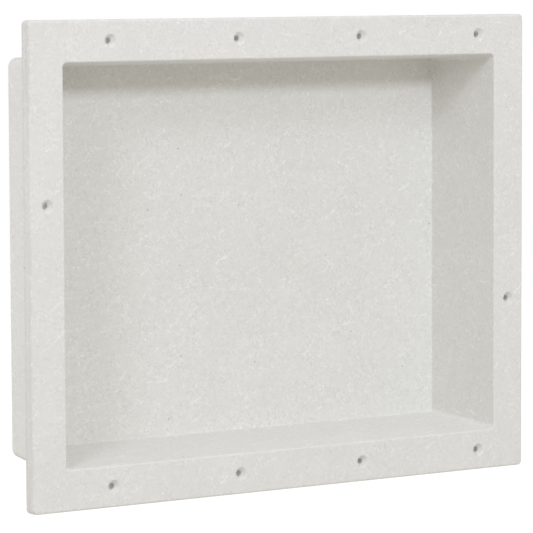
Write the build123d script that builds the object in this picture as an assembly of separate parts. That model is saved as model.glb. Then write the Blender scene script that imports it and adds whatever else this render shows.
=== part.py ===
from build123d import *

import os

# Shower niche insert: a shallow tray moulded in one piece with a flat screw flange round its mouth.
# X runs to the right, Y into the wall and Z up, in millimetres. The front of the flange faces -Y.
# The origin is the centre of the wall plane, where the back of the flange bears on the studs.

# Flange
FLANGE_WIDTH = 508.0
FLANGE_HEIGHT = 406.0
FLANGE_THICKNESS = 12.5
FLANGE_CORNER_RADIUS = 4.0
FLANGE_FRONT_RADIUS = 2.0
FLANGE_BACK_RADIUS = 1.0
SIDE_BORDER = 32.0
TOP_BORDER = 35.0

# Tray, whose walls all lean in towards the back: it leaves its mould freely and its floor drains forward
CAVITY_DEPTH = 84.0
DRAFT_ANGLE = 5.0
TOP_DRAFT_ANGLE = 3.5
WALL = 8.0
BACK_WALL = 9.0
MOUTH_RADIUS = 1.5
CAVITY_CORNER_RADIUS = 4.0
CAVITY_BACK_RADIUS = 1.5
TRAY_CORNER_RADIUS = 8.0
TRAY_BACK_RADIUS = 3.0
NECK_RADIUS = 3.0

# Screw holes, in a row above, a row below and one in each side border
SCREW_BORE = 5.0
SCREW_RECESS = 11.0
SCREW_RECESS_DEPTH = 4.4
SCREW_RIM_CHAMFER = 0.5
ROW_SCREWS = 4
ROW_PITCH = 127.0
ROW_OFFSET = 14.0
SIDE_SCREW_RISE = 51.0

FRONT = Plane.XZ.offset(FLANGE_THICKNESS)
MOUTH_WIDTH = FLANGE_WIDTH - 2 * SIDE_BORDER
MOUTH_HEIGHT = FLANGE_HEIGHT - 2 * TOP_BORDER


def front_face(solid):
    """The flat face furthest to the front."""
    return solid.faces().sort_by(Axis.Y)[0]


def back_face(solid):
    """The flat face furthest to the back."""
    return solid.faces().sort_by(Axis.Y)[-1]


def top_face(solid):
    """The face whose middle is highest."""
    return solid.faces().sort_by(Axis.Z)[-1]


def drafted_block(width, height, depth, corner_radius, back_radius):
    """A block that starts at the front of the flange and narrows by the draft as it runs back."""
    block = extrude(FRONT * Rectangle(width, height), -depth)
    block = draft(top_face(block), -FRONT, TOP_DRAFT_ANGLE)
    steeper_faces = block.faces() - [front_face(block), back_face(block), top_face(block)]
    block = draft(steeper_faces, -FRONT, DRAFT_ANGLE)
    depth_edges = block.edges() - front_face(block).edges() - back_face(block).edges()
    block = fillet(depth_edges, corner_radius)
    return fillet(back_face(block).edges(), back_radius)


def flange_plate():
    """The flat plate that carries the screws, rounded at its corners and along both outer edges."""
    outline = RectangleRounded(FLANGE_WIDTH, FLANGE_HEIGHT, FLANGE_CORNER_RADIUS)
    plate = extrude(Plane.XZ * outline, FLANGE_THICKNESS)
    plate = fillet(front_face(plate).edges(), FLANGE_FRONT_RADIUS)
    return fillet(back_face(plate).edges(), FLANGE_BACK_RADIUS)


def tray_block():
    """The outside of the tray, as a solid block."""
    width = MOUTH_WIDTH + 2 * WALL
    height = MOUTH_HEIGHT + 2 * WALL
    return drafted_block(width, height, CAVITY_DEPTH + BACK_WALL, TRAY_CORNER_RADIUS, TRAY_BACK_RADIUS)


def cavity_block():
    """The space inside the tray."""
    return drafted_block(MOUTH_WIDTH, MOUTH_HEIGHT, CAVITY_DEPTH, CAVITY_CORNER_RADIUS, CAVITY_BACK_RADIUS)


def screw_places():
    """The centres of the screw holes as X and Z, each in the middle of its border."""
    row_height = (FLANGE_HEIGHT - TOP_BORDER) / 2
    side_reach = (FLANGE_WIDTH - SIDE_BORDER) / 2
    row_start = ROW_OFFSET - ROW_PITCH * (ROW_SCREWS - 1) / 2
    row = [row_start + ROW_PITCH * i for i in range(ROW_SCREWS)]
    rows = [(x, z) for z in (row_height, -row_height) for x in row]
    return rows + [(-side_reach, SIDE_SCREW_RISE), (side_reach, -SIDE_SCREW_RISE)]


def screw_cutters():
    """A straight bore with a cone-shaped recess at each screw's place, sunk in from the front."""
    sunk = (Align.CENTER, Align.CENTER, Align.MAX)
    bore = Cylinder(SCREW_BORE / 2, FLANGE_THICKNESS, align=sunk)
    recess = Cone(SCREW_BORE / 2, SCREW_RECESS / 2, SCREW_RECESS_DEPTH, align=sunk)
    return FRONT * Locations(screw_places()) * (bore + recess)


def niche():
    """The whole moulding: flange and tray in one, hollowed, drilled and eased along its edges."""
    body = flange_plate() + tray_block()
    ringed_faces = body.faces().filter_by(lambda face: len(face.inner_wires()) > 0)
    neck = back_face(ringed_faces).inner_wires()[0]
    body = fillet(neck.edges(), NECK_RADIUS)

    body -= cavity_block()
    mouth = front_face(body).inner_wires()[0]
    body = fillet(mouth.edges(), MOUTH_RADIUS)

    body -= screw_cutters()
    rims = front_face(body).edges().filter_by(lambda edge: edge.is_closed)
    return chamfer(rims, SCREW_RIM_CHAMFER)


os.makedirs("parts", exist_ok=True)
export_step(niche(), "parts/niche.step")
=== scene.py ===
from math import pi, radians
from typing import NamedTuple

import bpy
from bpy.props import FloatProperty, FloatVectorProperty, PointerProperty
from mathutils import Euler, Matrix, Vector


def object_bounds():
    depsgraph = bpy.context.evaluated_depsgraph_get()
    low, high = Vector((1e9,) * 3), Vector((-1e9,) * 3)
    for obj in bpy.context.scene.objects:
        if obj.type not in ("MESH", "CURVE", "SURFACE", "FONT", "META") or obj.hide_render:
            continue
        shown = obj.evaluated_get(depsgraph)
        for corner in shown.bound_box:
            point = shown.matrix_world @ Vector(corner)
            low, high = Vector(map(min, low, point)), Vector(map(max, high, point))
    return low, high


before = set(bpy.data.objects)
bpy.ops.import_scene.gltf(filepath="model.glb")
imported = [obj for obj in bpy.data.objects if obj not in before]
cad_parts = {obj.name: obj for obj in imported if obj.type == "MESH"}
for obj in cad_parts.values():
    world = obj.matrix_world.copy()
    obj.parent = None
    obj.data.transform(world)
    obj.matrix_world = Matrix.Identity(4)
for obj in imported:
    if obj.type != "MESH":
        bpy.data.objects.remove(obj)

bl_info = {
    "name": "Shower niche insert",
    "version": (1, 0, 0),
    "blender": (4, 5, 0),
    "location": "3D View > Sidebar > Niche",
    "description": "Finishes a moulded shower niche and sets up a studio round it",
    "category": "Object",
}

CAD_BOX = [list(corner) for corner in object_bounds()]
NICHE_BASE = CAD_BOX[0][2]
HALF_WIDTH = CAD_BOX[1][0]
BACK = CAD_BOX[1][1]

# Grain
PATCH_SIZE = 2.0  # in mottle sizes
PATCH_FADE = (-0.12, 0.16)  # noise outside a patch and inside it
PATCH_GRAIN = (0.5, 1.4)  # strength outside a patch and inside it
GRIT_SIZE = 0.55  # in grain sizes
GRIT_FADE = (BACK - 0.02, BACK - 0.01)  # along Y, from none to full on the back wall
GRIT_STRENGTH = 0.75  # beside the grain's 1

# Specks, with radii in metres and the share of cells that hold one
FLECK_RADIUS = 0.0014
FLECK_SHARE = 0.5
GLINT_RADIUS = 0.0016
GLINT_SHARE = 0.45
GLINT_SPACING = 3.0  # in fleck spacings
PIT_RADIUS = 0.0011
PIT_SHARE = 0.4
SMALLEST_SPECK = 0.25  # in radii; the largest speck is one radius more
SPECK_CORE = 0.4  # share of a speck that has full strength

# Chopped fibres, with half widths in metres and the share of cells that hold one
LONG_FIBRE_WIDTH = 0.0011
LONG_FIBRE_SHARE = 0.6
LONG_FIBRE_LEAN = -0.1  # radians
LONG_FIBRE_FAN = 1.1  # radians
LONG_FIBRE_COVER = (-0.10, 0.05)  # grain that hides a fibre and grain that shows it
SHORT_FIBRE_WIDTH = 0.0009
SHORT_FIBRE_SHARE = 0.5
SHORT_FIBRE_SPACING = 0.3  # in long fibre spacings
SHORT_FIBRE_LENGTH = 0.28  # in long fibre lengths
DULL_FIBRE_SHARE = 0.4
DULL_FIBRE_SHIFT = (0.013, 0.037, 0.0)  # metres, to lie apart from the light ones
SHORTEST_FIBRE = 0.3  # in full lengths
FIBRE_CORE = 0.3  # share of the width that has full strength
FIBRE_TIP = 0.7  # share of the length that has full strength
BEND_SCALE = 60.0  # waves in a metre
BEND_REACH = (0.004, 0.004, 0.0)  # metres

# Tone that each layer adds, as a share of the colour
LAYER_TONES = {
    "grain": 0.20,
    "mottle": 0.08,
    "cloud": 0.05,
    "fleck": 0.08,
    "glint": 0.14,
    "long_fibre": 0.09,
    "short_fibre": 0.06,
    "dull_fibre": -0.05,
    # the pits' darkening is painted shade inside them
    "pit": -0.32,
}

# Height of each layer, beside the grain's 1
LAYER_HEIGHTS = {
    "mottle": 0.6,
    "pit": -2.0,
    "short_fibre": 0.2,
}

# Skin
BUMP_STRENGTH = 0.5
MOTTLE_ROUGHNESS = 0.2  # how far the roughness follows the mottling
SPECULAR_LEVEL = 0.25
WALL_FACING = 0.7  # part of the normal along an axis from which a wall faces that way

# Upright edges of the flange: saw streaks, a darker tone, and painted shade along their back
EDGE_FADE = (-0.0015, -0.0003)  # metres past the side, from plain to streaked and darker
BACK_SHADE_FADE = (-0.004, -0.001)  # metres past the back of the flange, from none to full painted shade along the back
STREAK_TONE = 0.16
STREAK_SQUEEZE = 0.06  # along Z, which draws the streaks out upright

# Studio
WHITE = (1.0, 1.0, 1.0, 1.0)
ROOM_COLOUR = (1.08, 1.0, 0.90, 1.0)
LAMP_COLOUR = (0.935, 1.0, 1.10)
FLOOR_COLOUR = (0.75, 0.745, 0.72, 1.0)
FLOOR_LIFT = 0.72  # glow that makes a lit floor look white
FLOOR_REACH = 8.0  # metres
SENSOR_WIDTH = 36.0  # millimetres


class Softbox(NamedTuple):
    """Where a softbox stands, in degrees and metres from the niche, and its size in metres."""

    azimuth: float
    elevation: float
    distance: float
    width: float
    height: float


KEY_SOFTBOX = Softbox(azimuth=3.0, elevation=21.8, distance=3.4, width=0.6, height=0.42)
SIDE_SOFTBOX = Softbox(azimuth=-55.0, elevation=26.4, distance=3.0, width=0.6, height=0.54)
TOP_SOFTBOX = Softbox(azimuth=0.0, elevation=78.0, distance=2.4, width=0.9, height=0.9)
BOUNCE_CARD = Softbox(azimuth=-115.0, elevation=4.0, distance=1.2, width=0.6, height=0.6)


class MouldingFinish(bpy.types.PropertyGroup):
    """The look of the moulding compound: its colour, its grain and what lies in its skin."""

    colour: FloatVectorProperty(
        name="Colour", description="Colour of the compound between its flecks",
        subtype="COLOR", size=3, min=0.0, max=1.0, default=(0.79, 0.785, 0.757))
    roughness: FloatProperty(
        name="Roughness", description="Mean roughness of the matte skin",
        subtype="FACTOR", min=0.0, max=1.0, default=0.82)
    grain_size: FloatProperty(
        name="Grain size", description="Size of the fine grain",
        unit="LENGTH", min=0.0002, default=0.0026)
    mottle_size: FloatProperty(
        name="Mottle size", description="Size of the soft patches of the compound",
        unit="LENGTH", min=0.001, default=0.009)
    cloud_size: FloatProperty(
        name="Cloud size", description="Size of the broad, faint changes of tone",
        unit="LENGTH", min=0.005, default=0.045)
    fleck_spacing: FloatProperty(
        name="Fleck spacing", description="Distance between light flecks",
        unit="LENGTH", min=0.001, default=0.0052)
    pit_spacing: FloatProperty(
        name="Pit spacing", description="Distance between air pits",
        unit="LENGTH", min=0.002, default=0.015)
    fibre_spacing: FloatProperty(
        name="Fibre spacing", description="Distance between chopped fibres that show at the surface",
        unit="LENGTH", min=0.004, default=0.028)
    fibre_length: FloatProperty(
        name="Fibre length", description="Length of a chopped fibre",
        unit="LENGTH", min=0.001, default=0.026)
    edge_shade: FloatProperty(
        name="Edge shade", description="How much darker the sawn edges of the flange are",
        subtype="FACTOR", min=0.0, max=1.0, default=0.045)
    streak_size: FloatProperty(
        name="Streak size", description="Width of the saw streaks along those edges",
        unit="LENGTH", min=0.0005, default=0.003)
    skin_depth: FloatProperty(
        name="Skin depth", description="Height of the grain in the skin",
        unit="LENGTH", min=0.0, default=0.00012)


class StudioSetup(bpy.types.PropertyGroup):
    """Where the camera stands and how strong each light is."""

    camera_place: FloatVectorProperty(
        name="Camera place", description="Where the camera stands",
        subtype="TRANSLATION", unit="LENGTH", size=3, default=(-1.6478, -2.4408, 0.2414))
    camera_turn: FloatProperty(
        name="Turn", description="How far the camera looks to the right of straight on",
        subtype="ANGLE", default=radians(33.790))
    camera_tilt: FloatProperty(
        name="Tilt", description="How far the camera looks down",
        subtype="ANGLE", default=radians(4.903))
    camera_roll: FloatProperty(
        name="Roll", description="How far the camera is rolled",
        subtype="ANGLE", default=radians(-0.245))
    focal_length: FloatProperty(
        name="Focal length", description="Focal length on a 36 mm wide sensor, in millimetres",
        min=10.0, default=231.95)
    ambient: FloatProperty(
        name="Ambient", description="Strength of the even light of the room",
        min=0.0, default=0.493)
    key: FloatProperty(
        name="Key", description="Strength of the wide softbox in front",
        min=0.0, default=0.277)
    side: FloatProperty(
        name="Side", description="Strength of the softbox at the left",
        min=0.0, default=0.188)
    top: FloatProperty(
        name="Top", description="Strength of the overhead softbox",
        min=0.0, default=0.13)
    bounce: FloatProperty(
        name="Bounce", description="Strength of the white card behind, at the left",
        min=0.0, default=0.192)
    floor_drop: FloatProperty(
        name="Floor drop", description="How far the floor lies below the niche, which hangs in a wall",
        unit="LENGTH", min=0.0, default=0.8)


class NodeGraph:
    """Adds nodes to a material or world and links them as they are made."""

    def __init__(self, tree):
        self.tree = tree
        tree.nodes.clear()

    def add(self, kind, inputs=None, **settings):
        """A node whose settings and inputs are set; an input that is a socket is linked."""
        node = self.tree.nodes.new(kind)
        for name, value in settings.items():
            setattr(node, name, value)
        for name, value in (inputs or {}).items():
            if isinstance(value, bpy.types.NodeSocket):
                self.tree.links.new(value, node.inputs[name])
            else:
                node.inputs[name].default_value = value
        return node

    def math(self, operation, first, second=0.0, third=0.0):
        """The result of a Math node."""
        inputs = {0: first, 1: second, 2: third}
        return self.add("ShaderNodeMath", inputs, operation=operation).outputs[0]

    def vector(self, operation, first, second, third=(0.0, 0.0, 0.0)):
        """The vector that a Vector Math node gives."""
        inputs = {0: first, 1: second, 2: third}
        return self.add("ShaderNodeVectorMath", inputs, operation=operation).outputs["Vector"]

    def dot(self, first, second):
        """How far one vector reaches along another."""
        inputs = {0: first, 1: second}
        return self.add("ShaderNodeVectorMath", inputs, operation="DOT_PRODUCT").outputs["Value"]

    def split(self, vector):
        """The X, Y and Z of a vector."""
        return self.add("ShaderNodeSeparateXYZ", {0: vector}).outputs

    def pair(self, across, up):
        """A vector in a plane, from two values."""
        return self.add("ShaderNodeCombineXYZ", {0: across, 1: up}).outputs[0]

    def choose(self, factor, first, second):
        """The first vector where the factor is 0, and the second where it is 1."""
        inputs = {"Factor": factor, 4: first, 5: second}
        return self.add("ShaderNodeMix", inputs, data_type="VECTOR").outputs[1]

    def ramp(self, value, low, high, start=0.0, end=1.0):
        """A smooth step of value from start at low to end at high."""
        inputs = {"Value": value, "From Min": low, "From Max": high, "To Min": start, "To Max": end}
        return self.add("ShaderNodeMapRange", inputs, interpolation_type="SMOOTHSTEP").outputs["Result"]

    def noise(self, place, size, detail, roughness=0.55):
        """Noise of a feature size, centred on zero."""
        inputs = {"Vector": place, "Scale": 1.0 / size, "Detail": detail, "Roughness": roughness}
        return self.math("SUBTRACT", self.add("ShaderNodeTexNoise", inputs).outputs["Fac"], 0.5)

    def weigh(self, start, layers, weights):
        """The start with each weighted layer added to it."""
        total = start
        for name, weight in weights.items():
            total = self.math("MULTIPLY_ADD", layers[name], weight, total)
        return total


def surface_plane(graph, place):
    """Coordinates that lie in the surface, for the walls that face along X, Y or Z."""
    x, y, z = graph.split(place)
    normal = graph.split(graph.add("ShaderNodeNewGeometry").outputs["True Normal"])
    faces_x = graph.math("GREATER_THAN", graph.math("ABSOLUTE", normal[0]), WALL_FACING)
    faces_z = graph.math("GREATER_THAN", graph.math("ABSOLUTE", normal[2]), WALL_FACING)
    upright = graph.choose(faces_x, graph.pair(x, z), graph.pair(y, z))
    return graph.choose(faces_z, upright, graph.pair(x, y))


def specks(graph, place, spacing, radius, share):
    """Round specks scattered through the compound, from 0 to 1, in a share of their cells."""
    cells = graph.add("ShaderNodeTexVoronoi", {"Vector": place, "Scale": 1.0 / spacing})
    tint = graph.add("ShaderNodeSeparateColor", {0: cells.outputs["Color"]}).outputs
    present = graph.math("LESS_THAN", tint[0], share)
    reach = graph.math("MULTIPLY", tint[1], radius / spacing)
    reach = graph.math("ADD", reach, SMALLEST_SPECK * radius / spacing)
    core = graph.math("DIVIDE", cells.outputs["Distance"], reach)
    return graph.math("MULTIPLY", graph.ramp(core, 1.0, SPECK_CORE), present)


def fibres(graph, plane, spacing, length, width, share, lean=0.0, fan=pi):
    """Chopped fibres lying in the surface, from 0 to 1, one in a share of the cells."""
    waves = graph.add("ShaderNodeTexNoise", {"Vector": plane, "Scale": BEND_SCALE, "Detail": 1.0})
    bend = graph.vector("SUBTRACT", waves.outputs["Color"], (0.5, 0.5, 0.5))
    bent = graph.vector("MULTIPLY_ADD", bend, BEND_REACH, plane)
    grid = {"Vector": bent, "Scale": 1.0 / spacing}
    cells = graph.add("ShaderNodeTexVoronoi", grid, voronoi_dimensions="2D")
    tint = graph.add("ShaderNodeSeparateColor", {0: cells.outputs["Color"]}).outputs

    turn = graph.math("MULTIPLY_ADD", tint[0], fan, lean)
    cosine = graph.math("COSINE", turn)
    sine = graph.math("SINE", turn)
    offset = graph.vector("SUBTRACT", bent, cells.outputs["Position"])
    lengthwise = graph.math("ABSOLUTE", graph.dot(offset, graph.pair(cosine, sine)))
    across = graph.pair(sine, graph.math("MULTIPLY", cosine, -1.0))
    sidewise = graph.math("ABSOLUTE", graph.dot(offset, across))

    reach = graph.math("MULTIPLY_ADD", tint[1], 1.0 - SHORTEST_FIBRE, SHORTEST_FIBRE)
    reach = graph.math("MULTIPLY", reach, 0.5 * length)
    ends = graph.ramp(graph.math("DIVIDE", lengthwise, reach), 1.0, FIBRE_TIP)
    shape = graph.math("MULTIPLY", graph.ramp(sidewise, width, FIBRE_CORE * width), ends)
    present = graph.math("LESS_THAN", tint[2], share)
    return graph.math("MULTIPLY", shape, present)


def compound_grain(graph, place, finish):
    """Fine grain round 0 that comes and goes in patches, with a finer grit on the back wall."""
    grit = graph.noise(place, GRIT_SIZE * finish.grain_size, detail=0.0)
    gritty = graph.ramp(graph.split(place)[1], *GRIT_FADE, 0.0, GRIT_STRENGTH)
    grain = graph.noise(place, finish.grain_size, detail=1.0, roughness=0.6)
    grain = graph.math("MULTIPLY_ADD", grit, gritty, grain)
    patch = graph.noise(place, PATCH_SIZE * finish.mottle_size, detail=1.0)
    return graph.math("MULTIPLY", grain, graph.ramp(patch, *PATCH_FADE, *PATCH_GRAIN))


def compound_layers(graph, place, finish):
    """What shows in the compound: soft layers round 0, and specks and fibres from 0 to 1."""
    grain = compound_grain(graph, place, finish)
    plane = surface_plane(graph, place)
    long_fibre = fibres(graph, plane, finish.fibre_spacing, finish.fibre_length,
                        LONG_FIBRE_WIDTH, LONG_FIBRE_SHARE, LONG_FIBRE_LEAN, LONG_FIBRE_FAN)
    beside = graph.vector("ADD", plane, DULL_FIBRE_SHIFT)
    spacing = SHORT_FIBRE_SPACING * finish.fibre_spacing
    length = SHORT_FIBRE_LENGTH * finish.fibre_length
    return {
        "grain": grain,
        "mottle": graph.noise(place, finish.mottle_size, detail=2.0, roughness=0.6),
        "cloud": graph.noise(place, finish.cloud_size, detail=2.0, roughness=0.5),
        "fleck": specks(graph, place, finish.fleck_spacing, FLECK_RADIUS, FLECK_SHARE),
        "glint": specks(graph, place, GLINT_SPACING * finish.fleck_spacing, GLINT_RADIUS, GLINT_SHARE),
        "pit": specks(graph, place, finish.pit_spacing, PIT_RADIUS, PIT_SHARE),
        "long_fibre": graph.math("MULTIPLY", long_fibre, graph.ramp(grain, *LONG_FIBRE_COVER)),
        "short_fibre": fibres(graph, plane, spacing, length, SHORT_FIBRE_WIDTH, SHORT_FIBRE_SHARE),
        "dull_fibre": fibres(graph, beside, spacing, length, SHORT_FIBRE_WIDTH, DULL_FIBRE_SHARE),
    }


def edge_streaks_and_shade(graph, place, finish):
    """The change of tone on the flange's upright edges: sawn to width, so streaked; darker all over, with
    painted shade along the back.
    """
    x, y = graph.split(place)[:2]
    past_side = graph.math("SUBTRACT", graph.math("ABSOLUTE", x), HALF_WIDTH)
    upright = graph.vector("MULTIPLY", place, (1.0, 1.0, STREAK_SQUEEZE))
    streak = graph.noise(upright, finish.streak_size, detail=1.0)
    shade = graph.math("MULTIPLY_ADD", streak, STREAK_TONE, -finish.edge_shade)
    # painted shade in a band along the back of each edge
    shade = graph.math("MULTIPLY_ADD", graph.ramp(y, *BACK_SHADE_FADE), -finish.edge_shade, shade)
    return graph.math("MULTIPLY", graph.ramp(past_side, *EDGE_FADE), shade)


def moulding_compound(finish):
    """Matte pale compound with a fine grain, light flecks, chopped fibres and a few air pits, darkened by
    painted shade.
    """
    material = bpy.data.materials.new("moulding_compound")
    material.use_nodes = True
    graph = NodeGraph(material.node_tree)
    place = graph.add("ShaderNodeTexCoord").outputs["Object"]
    layers = compound_layers(graph, place, finish)

    tone = graph.weigh(1.0, layers, LAYER_TONES)
    # the flange's upright edges: saw streaks, a darker tone and painted shade along their back
    tone = graph.math("ADD", tone, edge_streaks_and_shade(graph, place, finish))
    tinted = {0: tuple(finish.colour), "Scale": tone}
    colour = graph.add("ShaderNodeVectorMath", tinted, operation="SCALE").outputs["Vector"]
    roughness = graph.math("MULTIPLY_ADD", layers["mottle"], MOTTLE_ROUGHNESS, finish.roughness)
    height = graph.weigh(layers["grain"], layers, LAYER_HEIGHTS)
    skin = {"Strength": BUMP_STRENGTH, "Distance": finish.skin_depth, "Height": height}

    shader = graph.add("ShaderNodeBsdfPrincipled", {
        "Base Color": colour,
        "Roughness": roughness,
        "Normal": graph.add("ShaderNodeBump", skin).outputs["Normal"],
        "Specular IOR Level": SPECULAR_LEVEL,
    })
    graph.add("ShaderNodeOutputMaterial", {"Surface": shader.outputs[0]})
    return material


def seen_directly(graph):
    """1 for what the camera, a reflection or a clear surface shows, and 0 for light on the object."""
    path = graph.add("ShaderNodeLightPath").outputs
    seen = graph.math("MAXIMUM", path["Is Camera Ray"], path["Is Glossy Ray"])
    return graph.math("MAXIMUM", seen, path["Is Transmission Ray"])


def white_room(ambient):
    """A world that looks white and gives a slightly warm, even light."""
    world = bpy.data.worlds.new("white_room")
    world.use_nodes = True
    graph = NodeGraph(world.node_tree)
    light = graph.add("ShaderNodeBackground", {"Color": ROOM_COLOUR, "Strength": ambient})
    view = graph.add("ShaderNodeBackground", {"Color": WHITE, "Strength": 1.0})
    either = {0: seen_directly(graph), 1: light.outputs[0], 2: view.outputs[0]}
    mix = graph.add("ShaderNodeMixShader", either)
    graph.add("ShaderNodeOutputWorld", {"Surface": mix.outputs[0]})
    return world


def white_floor():
    """A pale floor that looks white where light falls on it, keeps a shadow and is clear from below."""
    material = bpy.data.materials.new("white_floor")
    material.use_nodes = True
    graph = NodeGraph(material.node_tree)
    matte = graph.add("ShaderNodeBsdfDiffuse", {"Color": FLOOR_COLOUR})
    lift = graph.math("MULTIPLY", seen_directly(graph), FLOOR_LIFT)
    glow = graph.add("ShaderNodeEmission", {"Color": WHITE, "Strength": lift})
    above = graph.add("ShaderNodeAddShader", {0: matte.outputs[0], 1: glow.outputs[0]})
    clear = graph.add("ShaderNodeBsdfTransparent")
    below = graph.add("ShaderNodeNewGeometry").outputs["Backfacing"]
    mix = graph.add("ShaderNodeMixShader", {0: below, 1: above.outputs[0], 2: clear.outputs[0]})
    graph.add("ShaderNodeOutputMaterial", {"Surface": mix.outputs[0]})
    return material


def add_softbox(name, box, strength):
    """A softbox that faces the niche; its azimuth is from straight in front, to the right."""
    lamp = bpy.data.lights.new(name, "AREA")
    lamp.shape = "RECTANGLE"
    lamp.size = box.width
    lamp.size_y = box.height
    lamp.energy = strength * (pi * box.distance) ** 2
    lamp.color = LAMP_COLOUR
    turn = Euler((radians(90.0 - box.elevation), 0.0, radians(box.azimuth)))
    softbox = bpy.data.objects.new(name, lamp)
    softbox.rotation_euler = turn
    softbox.location = turn.to_matrix() @ Vector((0.0, 0.0, box.distance))
    softbox.visible_camera = False
    bpy.context.scene.collection.objects.link(softbox)


def add_camera(studio):
    """The camera at the photograph's place."""
    lens = bpy.data.cameras.new("camera")
    lens.sensor_width = SENSOR_WIDTH
    lens.lens = studio.focal_length
    camera = bpy.data.objects.new("camera", lens)
    level = Euler((0.5 * pi - studio.camera_tilt, 0.0, -studio.camera_turn)).to_matrix()
    turn = level @ Matrix.Rotation(studio.camera_roll, 3, "Z")
    camera.matrix_world = Matrix.Translation(studio.camera_place) @ turn.to_4x4()
    bpy.context.scene.collection.objects.link(camera)
    bpy.context.scene.camera = camera


def add_floor(drop):
    """A wide floor below the niche."""
    height = NICHE_BASE - drop
    signs = ((-1, -1), (1, -1), (1, 1), (-1, 1))
    corners = [(x * FLOOR_REACH, y * FLOOR_REACH, height) for x, y in signs]
    sheet = bpy.data.meshes.new("floor")
    sheet.from_pydata(corners, [], [(0, 1, 2, 3)])
    sheet.materials.append(white_floor())
    floor = bpy.data.objects.new("floor", sheet)
    bpy.context.scene.collection.objects.link(floor)


class NICHE_OT_finish_moulding(bpy.types.Operator):
    """Give the moulding its compound, with grain, flecks, fibres and pits"""

    bl_idname = "niche.finish_moulding"
    bl_label = "Finish moulding"

    def execute(self, context):
        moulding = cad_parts.get("niche")
        if moulding is None:
            raise RuntimeError("the packed model has no node named niche")
        compound = moulding_compound(context.scene.niche_finish)
        for slot in moulding.material_slots:
            slot.material = compound
        return {"FINISHED"}


class NICHE_OT_set_studio(bpy.types.Operator):
    """Set up the floor, the white room, the softboxes and the camera"""

    bl_idname = "niche.set_studio"
    bl_label = "Set up studio"

    def execute(self, context):
        studio = context.scene.niche_studio
        context.scene.view_settings.view_transform = "Standard"
        context.scene.world = white_room(studio.ambient)
        add_floor(studio.floor_drop)
        add_softbox("key_softbox", KEY_SOFTBOX, studio.key)
        add_softbox("side_softbox", SIDE_SOFTBOX, studio.side)
        add_softbox("top_softbox", TOP_SOFTBOX, studio.top)
        add_softbox("bounce_card", BOUNCE_CARD, studio.bounce)
        add_camera(studio)
        return {"FINISHED"}


class NICHE_PT_sidebar(bpy.types.Panel):
    """The niche's finish and studio in the sidebar"""

    bl_idname = "NICHE_PT_sidebar"
    bl_label = "Shower niche"
    bl_space_type = "VIEW_3D"
    bl_region_type = "UI"
    bl_category = "Niche"

    def draw(self, context):
        self.draw_group(context.scene.niche_finish, NICHE_OT_finish_moulding)
        self.draw_group(context.scene.niche_studio, NICHE_OT_set_studio)

    def draw_group(self, settings, operator):
        """A box with a group's settings and the button that uses them."""
        box = self.layout.box()
        for name in settings.bl_rna.properties.keys():
            if name not in ("name", "rna_type"):
                box.prop(settings, name)
        box.operator(operator.bl_idname)


CLASSES = (MouldingFinish, StudioSetup, NICHE_OT_finish_moulding, NICHE_OT_set_studio, NICHE_PT_sidebar)


def register():
    for cls in CLASSES:
        bpy.utils.register_class(cls)
    bpy.types.Scene.niche_finish = PointerProperty(type=MouldingFinish)
    bpy.types.Scene.niche_studio = PointerProperty(type=StudioSetup)


def unregister():
    del bpy.types.Scene.niche_studio
    del bpy.types.Scene.niche_finish
    for cls in reversed(CLASSES):
        bpy.utils.unregister_class(cls)


def main():
    register()
    bpy.ops.niche.finish_moulding()
    bpy.ops.niche.set_studio()


if __name__ == "__main__":
    main()
